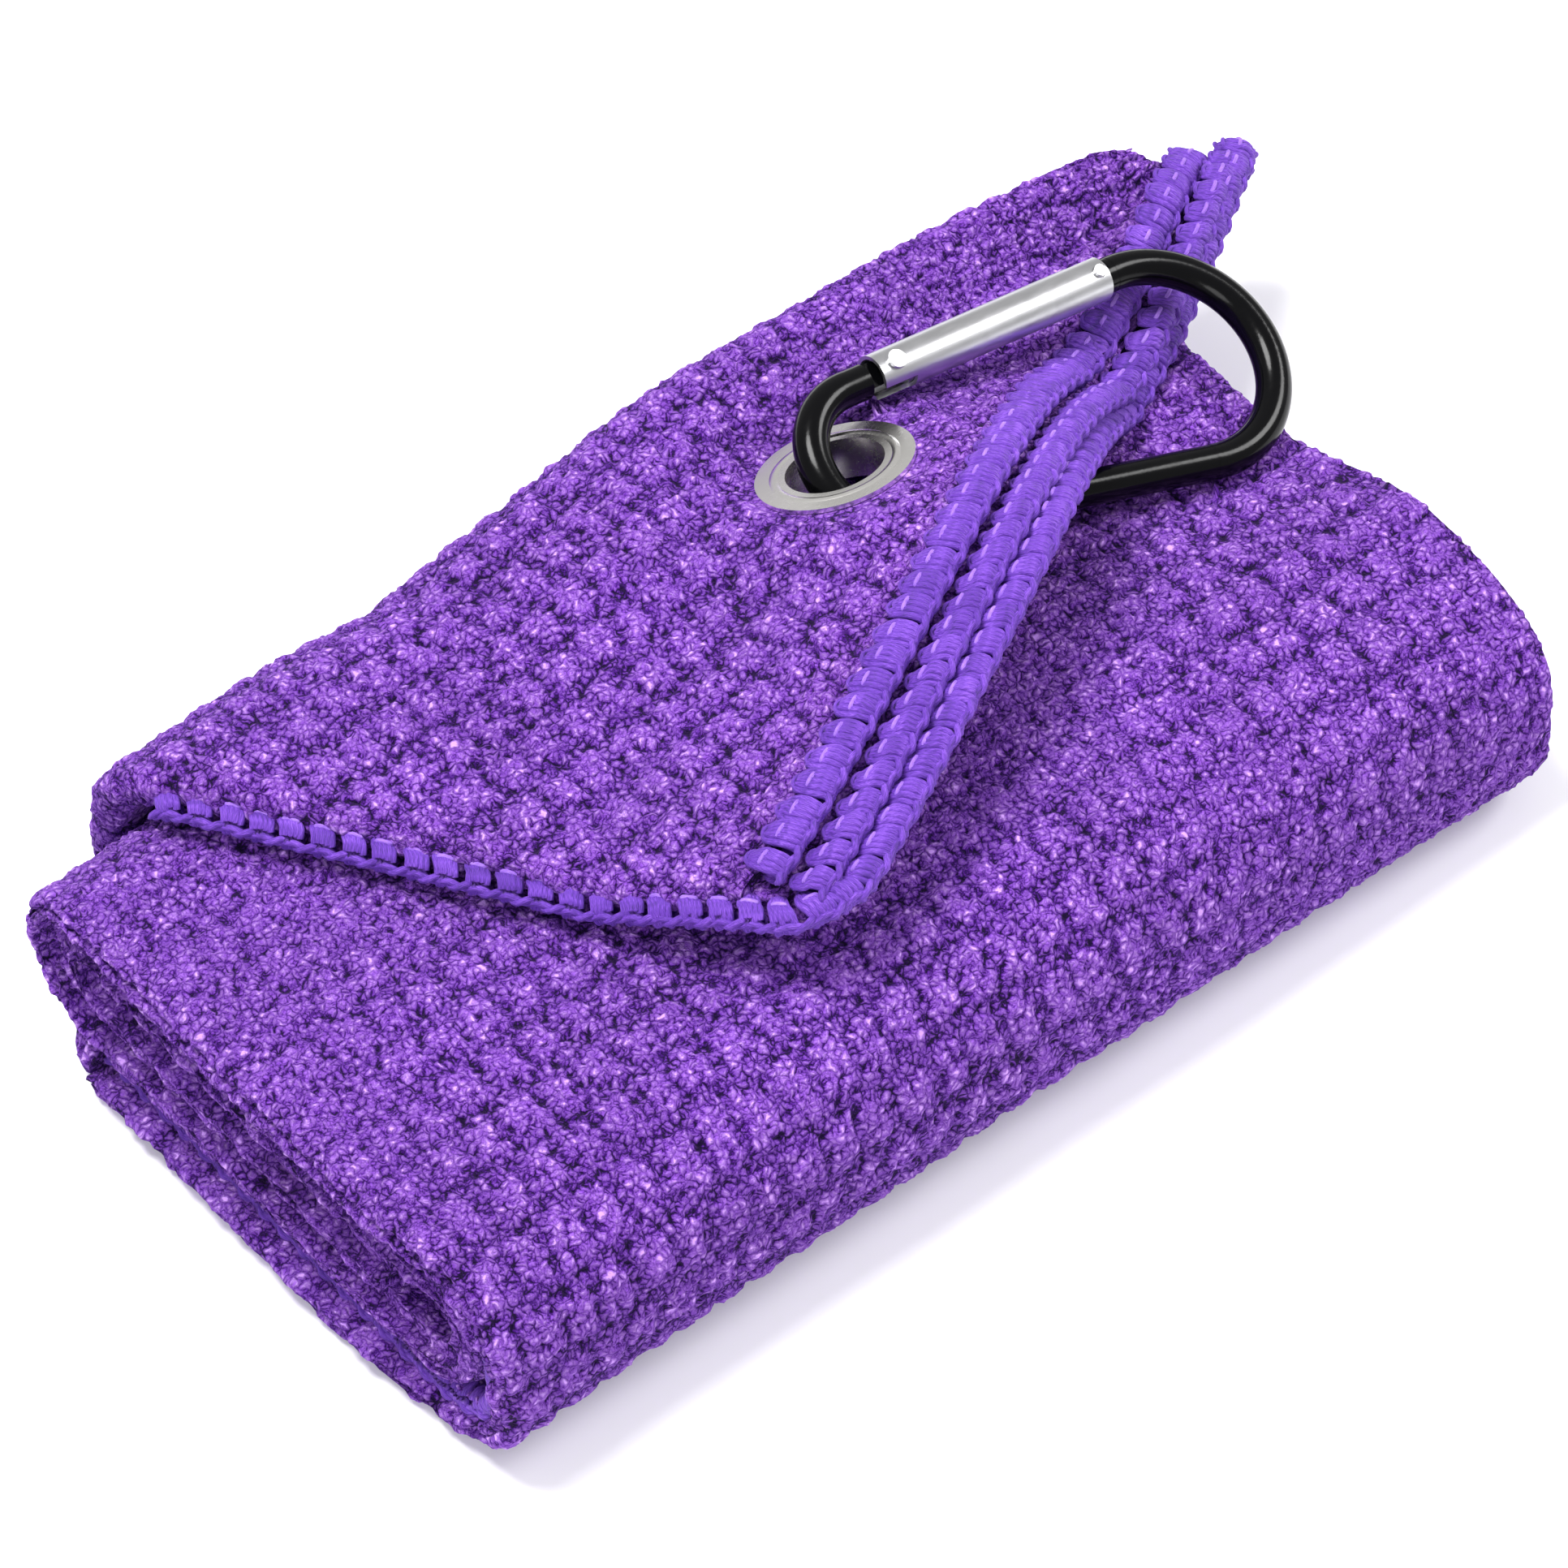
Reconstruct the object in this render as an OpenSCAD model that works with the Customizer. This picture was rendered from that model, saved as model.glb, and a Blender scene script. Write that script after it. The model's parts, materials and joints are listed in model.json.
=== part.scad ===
// Golf towel: a waffle cloth folded in three, rolled flat, with its free end laid back over the roll
// as a flap. An eyelet goes through the flap's three plies and holds a carabiner clip.
// +X runs along the roll, +Y to its back fold, +Z up. The origin is the centre of the roll's base.

/* [Roll] */
// Length of the roll, a third of the towel's width
roll_l = 135; // [120:1:150]
// Depth from the front fold to the back loop of the roll
roll_d = 78; // [74:1:90]
// Height at the thick left end
roll_h = 27; // [24:0.5:27]
// How far the top falls towards the right end
roll_fall = 8; // [4:0.5:8]
// Slit between neighbouring layers
slit = 0.25; // [0.15:0.05:0.3]
// Gap where one turn ends and the next begins
turn_gap = 0.6; // [0.5:0.1:1]

/* [Flap] */
// Thickness of one ply
ply_t = 1.2; // [1:0.1:1.3]
// Thickness of one ply where the eyelet clamps it
ply_clamped = 0.8; // [0.6:0.1:0.8]
// Clear gap between plies
ply_gap = 0.2; // [0.15:0.05:0.3]
// How far each ply reaches beyond the one above it
ply_step = 3.9; // [3.6:0.1:4.2]
// Radius of the overlock edge stitching
hem_r = 1.05; // [1:0.05:1.1]

/* [Eyelet] */
// Outer radius of the flange
flange_r = 8.5; // [8:0.1:9]
// Radius of the bore
eyelet_bore_r = 5.3; // [5.2:0.1:5.6]
// Thickness of the barrel's wall and of the flange
eyelet_wall = 0.5; // [0.4:0.05:0.6]

/* [Clip] */
// Radius of the frame's rod
rod_r = 1.9; // [1.8:0.05:1.95]
// Bend radius of the small end
small_r = 8.1; // [8:0.1:8.3]
// Bend radius of the large end
large_r = 11.7; // [11.5:0.1:12]
// Straight length of the spine
spine_l = 36.2; // [35.8:0.1:36.6]
// Outer radius of the gate's tube
tube_r = 2.4; // [2.35:0.05:2.45]
// Wall of the gate's tube
tube_wall = 0.4; // [0.35:0.05:0.4]
// Length of the gate's tube
tube_l = 30.8; // [30:0.1:31]
// Radius of the rivet's shank
rivet_r = 0.7; // [0.6:0.05:0.8]

/* [Hidden] */

cloth = "#6a35c9";
thread = "#6b40d8";

// Roll: five layers, each a strip of three plies
layers = 5;
strip_t = (roll_h - (layers - 1) * slit) / layers;
pitch = strip_t + slit;
front_y = -roll_d / 2 - 2 + roll_h / 2;
back_y = front_y + roll_d - roll_h / 2 - 12;
loop_z = 2.5 * pitch + strip_t / 2;
fold_z = 2 * pitch + strip_t / 2;
roll_stations = 12;
fall_start = 12;
fall_end = 70;

// Clip: its own frame has the small bend's centre at the origin and the spine along +X
clip_at = [27.2, 16.2, 33.7];
clip_tilt = [19.2, 13.9, -12.5];
gate_angle = 2 * asin((large_r - small_r) / norm([spine_l, large_r - small_r]));
large_at = [spine_l, large_r - small_r, 0];
pivot_run = 6;
tube_tail = 2.2;
shoulder = 3.4;
tongue_w = 2.8;
tongue_t = 2;
tongue_nose = 1.3;
pin_at = tube_l - tube_tail - 1.1;
nose_in = 3.3;
running = 0.06;
// Slip fit between a fixed part and its neighbour
slip = 0.05;
// How much fuller the bends are than the rod
bend_swell = 0.03;
// How far a flat end runs into its rod
root = 0.5;
plunger_head = 1.8;
plunger_l = 5;
plunger_rod_r = 0.9;
crimp_w = 0.8;
pin_head_t = 0.3;
rivet_head_r = 1.05;
plunger_at = tongue_nose + slip;
crimp_at = 18;

// Eyelet: square to the flap, which rises to the front here
eyelet_at = [20.9, 16.5, 35.6];
eyelet_tilt = 24.5;
stack_clamped = 3 * ply_clamped + 2 * ply_gap;
// Height of a sloping ply for each unit of its thickness
slope_spread = 1.25;

function smooth(t) = let (c = max(0, min(1, t))) c * c * (3 - 2 * c);
function mix(a, b, t) = a + (b - a) * t;

// ---- Roll -------------------------------------------------------------------------------------

// Height of the roll's top at x, as a share of its full height
function height_share(x) = 1 - roll_fall / roll_h * smooth((x - fall_start) / (fall_end - fall_start));

// Arc of points from angle a to angle b in the Y-Z plane
function arc(c, r, a, b, n = 14) = [for (i = [0:n]) let (t = mix(a, b, i / n)) c + r * [cos(t), sin(t)]];

function layer_z(i) = i * pitch + strip_t / 2;

// Both sides of a strip that follows a path
function strip_outline(path) =
    let (last = len(path) - 1,
        side = [for (i = [0:last])
            let (d = path[min(last, i + 1)] - path[max(0, i - 1)]) [-d.y, d.x] / norm(d) * strip_t / 2])
    concat([for (i = [0:last]) path[i] + side[i]], [for (i = [last:-1:0]) path[i] - side[i]]);

// Solid that carries an outline in Y-Z along the roll, lower where the roll is lower
module along_roll(outline) {
    n = len(outline);
    xs = [for (i = [0:roll_stations]) roll_l * (i / roll_stations - 0.5)];
    points = [for (x = xs) for (p = outline) [x, p.x, p.y * height_share(x)]];
    sides = [for (i = [0:roll_stations - 1]) for (k = [0:n - 1])
        let (a = i * n + k, b = i * n + (k + 1) % n) each [[a, b, b + n], [a, b + n, a + n]]];
    polyhedron(points, concat(sides, [[for (k = [n - 1:-1:0]) k]],
        [[for (k = [0:n - 1]) roll_stations * n + k]]));
}

function outer_path() = concat([[back_y, layer_z(0)]],
    arc([front_y, fold_z], 2 * pitch, 270, 90), [[back_y - turn_gap, layer_z(4)]]);
function inner_path() = concat(arc([back_y, loop_z], 1.5 * pitch, 90, -90),
    arc([front_y, fold_z], pitch, 270, 90), [[back_y - turn_gap, layer_z(3)]]);
function core_path() = concat(arc([back_y, loop_z], pitch / 2, 90, -90), [[front_y + pitch, layer_z(2)]]);
function fold_path() = arc([back_y + turn_gap, loop_z], 2.5 * pitch, -90, 12);

// Tube along a path of 3D points, for the overlock thread
module thread_along(path, r, sides = 8) {
    last = len(path) - 1;
    rings = [for (i = [0:last])
        let (d = path[min(last, i + 1)] - path[max(0, i - 1)], t = d / norm(d),
            ref = abs(t.z) < 0.8 ? [0, 0, 1] : [0, 1, 0], u = cross(ref, t) / norm(cross(ref, t)),
            v = cross(t, u))
        for (k = [0:sides - 1]) path[i] + r * (u * cos(360 * k / sides) + v * sin(360 * k / sides))];
    walls = [for (i = [0:last - 1]) for (k = [0:sides - 1])
        let (a = i * sides + k, b = i * sides + (k + 1) % sides)
        each [[a, b + sides, b], [a, a + sides, b + sides]]];
    polyhedron(rings, concat(walls, [[for (k = [0:sides - 1]) k]],
        [[for (k = [sides - 1:-1:0]) last * sides + k]]));
}

// Overlock of the roll's side edge on the end face at x, a share of the way in from the outer ply
module roll_hem(x, inset) {
    path = outer_path();
    last = len(path) - 1;
    thread_along([for (i = [0:last])
        let (d = path[min(last, i + 1)] - path[max(0, i - 1)], n = [-d.y, d.x] / norm(d),
            p = path[i] + n * inset)
        [x, p.x, p.y * height_share(x)]], hem_r);
}

module roll_outer_turn() { color(cloth) along_roll(strip_outline(outer_path())); }
module roll_inner_turn() { color(cloth) along_roll(strip_outline(inner_path())); }
module roll_core_turn() { color(cloth) along_roll(strip_outline(core_path())); }
module back_fold() { color(cloth) along_roll(strip_outline(fold_path())); }
module roll_left_hem() { color(thread) roll_hem(-roll_l / 2 - hem_r - slit, -strip_t / 4); }
module roll_right_hem() { color(thread) roll_hem(roll_l / 2 + hem_r + slit, strip_t / 4); }

// ---- Flap -------------------------------------------------------------------------------------

// Line where the flap leaves the back fold, u from the left side to the right
function back_line(u) = [mix(-60, 80, u), 41, 25 - u + 9 * sin(180 * pow(u, 1.3))];

// End edge of the top ply
function end_line(u) = let (drop = smooth((u - 0.38) / 0.47))
    [mix(-21, 87, u) + 2 * sin(180 * drop), -20 + 57 * pow(u, 1.15) + 3 * sin(180 * drop),
    37 + 5 * sin(90 * min(u / 0.4, 1)) - 23 * drop];

// Plane of the eyelet's flange
function eyelet_plane(p) = eyelet_at.z - (p.y - eyelet_at.y) * tan(eyelet_tilt);
function eyelet_dist(p) = norm([p.x - eyelet_at.x, p.y - eyelet_at.y]);

// Top of the roll under a point, with room to spare where it rounds off at the back loop
function roof(p) = let (r = 1.5 * pitch + strip_t / 2, wide = r + 4 * slit,
        out = min(wide, max(0, p.y - back_y)))
    (loop_z + min(r, sqrt(wide * wide - out * out))) * height_share(p.x);

// Top of the flap: it sags between the back line and the raised edge, rests on the roll, and is flat at
// the eyelet
function flap_top(u, w) =
    let (p = mix(back_line(u), end_line(u), w), sag = 3.9 * sin(180 * pow(max(0, min(1, w)), 0.8)),
        z = max(p.z - sag * smooth(1.6 - 1.6 * u), roof(p) + slope_spread * 3 * (ply_t + ply_gap) + slit))
    [p.x, p.y, mix(eyelet_plane(p), z, smooth((eyelet_dist(p) - 9.5) / 9))];

// Ply thickness is less where the eyelet clamps it
function ply_at(p) = mix(ply_clamped, ply_t, smooth((eyelet_dist(p) - 9.5) / 9));

// Length of the flap along u, for the plies' steps
function reach(u) = norm(end_line(u) - back_line(u));

// Top of ply k, where k = 0 is the top ply and lower plies reach further out
function ply_top(k, u, w) =
    let (p = flap_top(u, w * (1 + k * ply_step / reach(u))))
    p - [0, 0, k * (ply_at(p) + ply_gap) * slope_spread];

u_steps = 30;
w_steps = 18;

module ply(k) {
    cols = w_steps + 1;
    count = (u_steps + 1) * cols;
    top = [for (i = [0:u_steps]) for (j = [0:w_steps]) ply_top(k, i / u_steps, j / w_steps)];
    points = concat(top, [for (p = top) p - [0, 0, ply_at(p) * 1.08]]);
    skins = [for (i = [0:u_steps - 1]) for (j = [0:w_steps - 1])
        let (a = i * cols + j, b = a + cols)
        each [[a, b + 1, a + 1], [a, b, b + 1],
            [count + a, count + a + 1, count + b + 1], [count + a, count + b + 1, count + b]]];
    rim = concat([for (j = [0:w_steps]) j], [for (i = [1:u_steps]) i * cols + w_steps],
        [for (j = [w_steps - 1:-1:0]) u_steps * cols + j], [for (i = [u_steps - 1:-1:1]) i * cols]);
    edge = [for (i = [0:len(rim) - 1])
        let (a = rim[i], b = rim[(i + 1) % len(rim)])
        each [[a, count + b, count + a], [a, b, count + b]]];
    color(cloth) difference() {
        polyhedron(points, concat(skins, edge));
        at_eyelet() cylinder(h = 30, r = eyelet_bore_r + eyelet_wall + slit, center = true, $fn = 64);
    }
}

// A point raised if need be, so that a bead round it clears the roll
function on_roll(p) = [p.x, p.y, max(p.z, roof(p - [0, 2 * hem_r, 0]) + hem_r + 2 * slit)];

// Centre of the bead along the edge of ply k, which rests on the ply below
function bead(k, u) =
    let (p = flap_top(u, 1 + (k * ply_step + hem_r + 2 * slit) / reach(u)))
    on_roll(p + [0, 0, slope_spread * (hem_r + 1.7 * slit - (k + 1) * (ply_at(p) + ply_gap))]);

module hem(k) {
    color(thread) thread_along([for (i = [0:u_steps]) bead(k, i / u_steps)], hem_r);
}

module flap_top_ply() { ply(0); }
module flap_middle_ply() { ply(1); }
module flap_bottom_ply() { ply(2); }
module hem_top() { hem(0); }
module hem_middle() { hem(1); }
module hem_bottom() { hem(2); }

module flap_side_hem() {
    color(thread) thread_along([for (j = [1:w_steps - 1])
        on_roll(ply_top(2, 0, j / w_steps) - [1, 0.5, 0] * (hem_r + 2 * slit) - [0, 0, ply_t / 2])], hem_r);
}

// ---- Eyelet -----------------------------------------------------------------------------------

module at_eyelet() {
    translate(eyelet_at) rotate([-eyelet_tilt, 0, 0]) children();
}

// The flange stands just clear of the cloth, and its rim is beaded
flange_gap = 0.1;
bead_r = 0.25;
// The barrel goes through the plies, the washer and the rolled end below it
barrel_l = stack_clamped + 2 * eyelet_wall + 0.78;
washer_z = flange_gap - stack_clamped - eyelet_wall - 0.57;

module eyelet() {
    color("silver") at_eyelet() rotate_extrude($fn = 96) {
        translate([eyelet_bore_r, flange_gap]) square([flange_r - eyelet_bore_r, eyelet_wall]);
        translate([eyelet_bore_r, eyelet_wall + flange_gap - barrel_l]) square([eyelet_wall, barrel_l]);
        translate([flange_r - bead_r, flange_gap + bead_r]) circle(r = bead_r, $fn = 24);
    }
}

module eyelet_washer() {
    color("silver") at_eyelet() rotate_extrude($fn = 96)
        translate([eyelet_bore_r + eyelet_wall + slip, washer_z])
            square([flange_r - eyelet_bore_r - eyelet_wall, eyelet_wall]);
}

// ---- Clip -------------------------------------------------------------------------------------

module at_clip() {
    translate(clip_at) rotate(clip_tilt) children();
}

// Gate's own frame: origin on the pivot, +X along the tube
module at_gate() {
    at_clip() rotate([0, 0, gate_angle]) translate([pivot_run, small_r, 0]) children();
}

module rod(from, to) {
    d = to - from;
    translate(from) rotate([0, 90, atan2(d.y, d.x)]) cylinder(h = norm(d), r = rod_r, $fn = 48);
}

// Rod bent about the origin, a hair fuller than the straight rods that end inside it
module bend(r, from, to) {
    overlap = 1.5;
    rotate([0, 0, from - overlap]) rotate_extrude(angle = to - from + 2 * overlap, $fn = 96)
        translate([r, 0]) circle(r = rod_r + bend_swell, $fn = 48);
}

// Flat end of the frame inside the gate's tube, from x = a to x = b
module flat_end(a, b) {
    translate([a, -tongue_w / 2, -tongue_t / 2]) cube([b - a, tongue_w, tongue_t]);
}

gate_run = norm([spine_l, large_r - small_r]) * cos(gate_angle / 2) - pivot_run;
tube_end = tube_l - tube_tail;

module clip_frame() {
    color("#101012") union() {
        at_clip() {
            rod([0, -small_r, 0], [spine_l, -small_r, 0]);
            bend(small_r, gate_angle + 90, 270);
            translate(large_at) bend(large_r, -90, gate_angle + 90);
        }
        at_gate() {
            rod([-pivot_run, 0, 0], [-shoulder, 0, 0]);
            difference() {
                flat_end(-shoulder - root, tongue_nose);
                cylinder(h = 2 * tongue_t, r = rivet_r + running, center = true, $fn = 48);
            }
            rod([tube_end + tube_wall, 0, 0], [gate_run, 0, 0]);
            difference() {
                flat_end(tube_end - nose_in, tube_end + tube_wall + root);
                translate([pin_at - rivet_r - running, -tongue_w, -tongue_t])
                    cube([2 * (rivet_r + running), tongue_w, 2 * tongue_t]);
                translate([pin_at, 0, 0])
                    cylinder(h = 2 * tongue_t, r = rivet_r + running, center = true, $fn = 48);
            }
        }
    }
}

module pin_hole(x) {
    translate([x, 0, 0]) cylinder(h = 4 * tube_r, r = rivet_r + slip / 2, center = true, $fn = 48);
}

// Slot through one side of the tube, so that the gate can turn past a flat end of the frame
module tube_slot(from, to, side) {
    slot_w = tongue_t + 2 * slit;
    translate([from, side > 0 ? 0 : -2 * tube_r, -slot_w / 2]) cube([to - from, 2 * tube_r, slot_w]);
}

module gate_tube() {
    color("silver") at_gate() difference() {
        translate([-tube_tail, 0, 0]) rotate([0, 90, 0]) rotate_extrude($fn = 96) {
            translate([tube_r - tube_wall, 0]) square([tube_wall, tube_l]);
            translate([tube_r - 2 * tube_wall, crimp_at + tube_tail]) square([1.5 * tube_wall, crimp_w]);
        }
        pin_hole(0);
        pin_hole(pin_at);
        tube_slot(-tube_tail - 1, tongue_nose + rivet_r, -1);
        tube_slot(tube_end - nose_in - tube_wall, tube_l, 1);
    }
}

// Headed pin across the tube
module cross_pin(x, head_r) {
    translate([x, 0, 0]) cylinder(h = 2 * tube_r + pin_head_t, r = rivet_r, center = true, $fn = 48);
    for (side = [-1, 1]) translate([x, 0, side * (tube_r + slip + pin_head_t / 2)])
        cylinder(h = pin_head_t, r = head_r, center = true, $fn = 48);
}

module gate_rivet() { color("silver") at_gate() cross_pin(0, rivet_head_r); }
module latch_pin() { color("silver") at_gate() cross_pin(pin_at, rivet_r); }

module gate_plunger() {
    color("gray") at_gate() translate([plunger_at, 0, 0]) rotate([0, 90, 0]) {
        cylinder(h = plunger_head, r = tube_r - tube_wall - running, $fn = 48);
        cylinder(h = plunger_l, r = plunger_rod_r, $fn = 32);
    }
}

// Coil spring between the plunger's head and the tube's crimp
module gate_spring() {
    coils = 12;
    wire_r = 0.18;
    coil_r = 1.35;
    start = plunger_at + plunger_head + wire_r + slip;
    run = crimp_at - wire_r - slip - start;
    steps = coils * 14;
    color("gray") at_gate() thread_along([for (i = [0:steps])
        let (a = 360 * coils * i / steps) [start + run * i / steps, coil_r * cos(a), coil_r * sin(a)]],
        wire_r, 6);
}

roll_outer_turn();
roll_inner_turn();
roll_core_turn();
back_fold();
roll_left_hem();
roll_right_hem();
flap_top_ply();
flap_middle_ply();
flap_bottom_ply();
hem_top();
hem_middle();
hem_bottom();
flap_side_hem();
eyelet();
eyelet_washer();
clip_frame();
gate_tube();
gate_rivet();
latch_pin();
gate_plunger();
gate_spring();
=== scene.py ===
import json
import math
import bpy
import numpy as np
from mathutils import Vector, Matrix
from mathutils.bvhtree import BVHTree


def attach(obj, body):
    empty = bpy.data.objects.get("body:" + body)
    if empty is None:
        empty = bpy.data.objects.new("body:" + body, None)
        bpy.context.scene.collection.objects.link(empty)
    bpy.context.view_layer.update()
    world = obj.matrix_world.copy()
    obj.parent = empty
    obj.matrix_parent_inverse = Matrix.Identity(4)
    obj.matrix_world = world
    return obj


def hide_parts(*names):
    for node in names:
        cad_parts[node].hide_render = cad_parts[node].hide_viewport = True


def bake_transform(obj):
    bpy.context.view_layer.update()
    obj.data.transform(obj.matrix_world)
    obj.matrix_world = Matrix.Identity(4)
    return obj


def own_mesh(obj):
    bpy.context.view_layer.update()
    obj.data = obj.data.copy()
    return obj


# Golf towel: a waffle cloth rolled flat, with its free end laid back as a flap of three plies, an eyelet
# and a carabiner clip. Shapes are worked out in millimetres in the frame of the CAD and made in metres.

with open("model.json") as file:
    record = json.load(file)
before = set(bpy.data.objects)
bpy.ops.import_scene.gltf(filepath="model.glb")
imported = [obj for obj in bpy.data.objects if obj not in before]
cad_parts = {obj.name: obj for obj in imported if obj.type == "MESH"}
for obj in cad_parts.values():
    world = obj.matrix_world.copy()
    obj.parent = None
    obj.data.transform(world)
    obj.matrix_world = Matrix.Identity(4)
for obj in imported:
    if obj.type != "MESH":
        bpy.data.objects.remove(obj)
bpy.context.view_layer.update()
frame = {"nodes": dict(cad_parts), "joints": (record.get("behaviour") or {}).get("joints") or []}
nodes = frame["nodes"]
MM = 0.001

# ---- Sizes shared with the CAD, in mm ----
ROLL_L = 135.0
ROLL_H = 27.0
ROLL_FALL = 8.0
SLIT = 0.25
TURN_GAP = 0.6
STRIP_T = (ROLL_H - 4 * SLIT) / 5
PITCH = STRIP_T + SLIT
FRONT_Y = -27.5
BACK_Y = 25.0
LOOP_Z = 2.5 * PITCH + STRIP_T / 2
FOLD_Z = 2 * PITCH + STRIP_T / 2
FALL_FROM = 12.0
FALL_TO = 70.0
PLY_T = 1.2
PLY_CLAMPED = 0.8
PLY_GAP = 0.2
PLY_STEP = 3.9
HEM_R = 1.05
SLOPE_SPREAD = 1.25
EYELET_AT = np.array([20.9, 16.5, 35.6])
EYELET_TILT = math.radians(24.5)
EYELET_FLAT = 9.5
EYELET_EASE = 9.0
LOOP_R = 1.5 * PITCH + STRIP_T / 2
BACK_FOLD_R = 2.5 * PITCH + STRIP_T / 2
BACK_LINE_X = (-60.0, 80.0)
BACK_LINE_Y = 41.0
BACK_LINE_Z = 25.0
BACK_LINE_ARCH = 9.0
END_LINE_X = (-21.0, 87.0)
END_LINE_Y = -20.0
END_LINE_RUN = 57.0
END_LINE_Z = 37.0
END_LINE_RISE = 5.0
END_LINE_DROP = 23.0
END_LINE_BOW_X = 2.0
END_LINE_BOW_Y = 3.0
FLAP_SAG = 3.9

# ---- Joints, in mm and radians ----
joints = {joint["name"]: joint for joint in frame["joints"]}
GATE_PIVOT = np.array(joints["gate_swing"]["pos_m"]) / MM
GATE_AXIS = np.array(joints["gate_swing"]["axis"])
GATE_OPEN = math.radians(joints["gate_swing"]["range_deg"][1])
GATE_ALONG = np.array(joints["plunger_slide"]["axis"])
SWIVEL_PIVOT = np.array(joints["clip_swivel"]["pos_m"]) / MM
SWIVEL_AXIS = np.array(joints["clip_swivel"]["axis"])
SWIVEL_OPEN = math.radians(joints["clip_swivel"]["range_deg"][1])
# Shares of the gate's and the clip's swing at which the cloth makes room for the gate
SWING_STEPS = ((0.6, 0), (0.8, 0), (1, 0), (1, 0.25), (1, 0.5), (1, 0.75), (1, 1))
GATE_GAPS = {"gate_tube": 0.15, "latch_pin": 0.4}

# ---- Cloth and stitching, in mm ----
FINE = 0.42
COARSE = 0.9
FLOOR_GAP = 0.02
CLOTH_GAP = 0.12
YARN_GAP = 0.1
PAD_ALONG = 6.0
PAD_ACROSS = 4.7
PAD_HEIGHT = 0.36
PAD_LEVEL = 0.6
TUFT_SIZE = 1.05
TUFT_HEIGHT = 0.5
TUFT_LEVEL = 0.6
FUZZ_SIZE = 0.8
FUZZ_HEIGHT = 0.16
WAVE_SIZE = 17.0
WAVE_HEIGHT = 0.35
PLY_SKIN_GROWTH = 1.05
UNDERSIDE_FAR = 200
STITCH_PITCH = 3.2
WRAP_R = 0.43
NEEDLE_R = 0.24
INNER_LOOP_R = 0.24
BRAID_R = 0.36
WRAP_STRANDS = (-2, -1, 0, 1, 2)
DARK_YARN = 0
LIGHT_YARN = 1


def smooth(t):
    """Smoothstep from 0 to 1."""
    c = np.clip(t, 0, 1)
    return c * c * (3 - 2 * c)


def ease(value, start, end):
    """0 at start and before it, 1 at end and past it, smooth in between."""
    return smooth((value - start) / (end - start))


def mix(a, b, t):
    """a where t is 0, b where t is 1."""
    return a + (b - a) * t


def unit(v):
    """Vectors brought to length 1."""
    return v / np.maximum(np.linalg.norm(v, axis=-1, keepdims=True), 1e-9)


# ---- Noise ----
def hashed(cells, seed):
    """Random value in 0..1 for each whole-number cell."""
    h = (cells * np.array([73856093, 19349663, 83492791])[: cells.shape[-1]]).sum(-1) + seed * 2654435
    h = (h ^ (h >> 13)) * 1274126177
    h = (h ^ (h >> 16)) & 0xFFFFFF
    return h / float(0xFFFFFF)


def noise(p, size, seed=0):
    """Smooth noise in -1..1 at the points p, with features of the given size."""
    q = np.asarray(p) / size
    base = np.floor(q).astype(np.int64)
    f = smooth(q - base)
    total = np.zeros(q.shape[:-1])
    dims = q.shape[-1]
    for corner in range(2 ** dims):
        step = np.array([(corner >> d) & 1 for d in range(dims)])
        weight = np.prod(np.where(step, f, 1 - f), axis=-1)
        total += weight * hashed(base + step, seed)
    return 2 * total - 1


def tufts(ab, size, seed=0):
    """Height in 0..1 of round yarn tufts packed side by side at cloth coordinates ab."""
    q = ab / size
    base = np.floor(q).astype(np.int64)
    near = np.full(q.shape[:-1], 9.0)
    for i in (-1, 0, 1):
        for j in (-1, 0, 1):
            cell = base + np.array([i, j])
            spot = cell + 0.15 + 0.7 * np.stack([hashed(cell, seed), hashed(cell, seed + 7)], -1)
            near = np.minimum(near, ((q - spot) ** 2).sum(-1))
    return np.clip(1 - near / 0.55, 0, 1)


def waffle_pads(ab):
    """How far each point of the cloth is up on one of its raised pads, 0..1."""
    warp = np.stack([noise(ab, 3.1, 11), noise(ab, 3.1, 12)], -1) * 0.75
    q = (ab + warp) / np.array([PAD_ALONG, PAD_ACROSS])
    row = np.floor(q[..., 0])
    q = np.stack([q[..., 0], q[..., 1] + 0.5 * (row % 2)], -1)
    edge = np.abs(q - np.floor(q) - 0.5) * 2
    return (1 - smooth((edge[..., 0] - 0.45) / 0.5)) * (1 - smooth((edge[..., 1] - 0.4) / 0.55))


# ---- Flap surface, as in the CAD ----
def height_share(x):
    """The roll's height at x, as a share of its full height."""
    return 1 - ROLL_FALL / ROLL_H * ease(x, FALL_FROM, FALL_TO)


def back_line(u):
    """Line along the roll's back that the flap lies forward from, at shares u of its width."""
    arch = BACK_LINE_ARCH * np.sin(np.pi * u ** 1.3)
    return np.stack([mix(*BACK_LINE_X, u), np.full_like(u, BACK_LINE_Y), BACK_LINE_Z - u + arch], -1)


def end_line(u):
    """The flap's free end, which drops to the lower right side of the roll."""
    drop = smooth((u - 0.38) / 0.47)
    bow = np.sin(np.pi * drop)
    rise = np.sin(np.pi / 2 * np.minimum(u / 0.4, 1))
    return np.stack([mix(*END_LINE_X, u) + END_LINE_BOW_X * bow,
                     END_LINE_Y + END_LINE_RUN * u ** 1.15 + END_LINE_BOW_Y * bow,
                     END_LINE_Z + END_LINE_RISE * rise - END_LINE_DROP * drop], -1)


def flap_reach(u):
    """Length of the flap from its back line to its end."""
    return np.linalg.norm(end_line(u) - back_line(u), axis=-1)


def eyelet_dist(p):
    """Distance from the eyelet's centre, seen from above."""
    return np.hypot(p[..., 0] - EYELET_AT[0], p[..., 1] - EYELET_AT[1])


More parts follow.
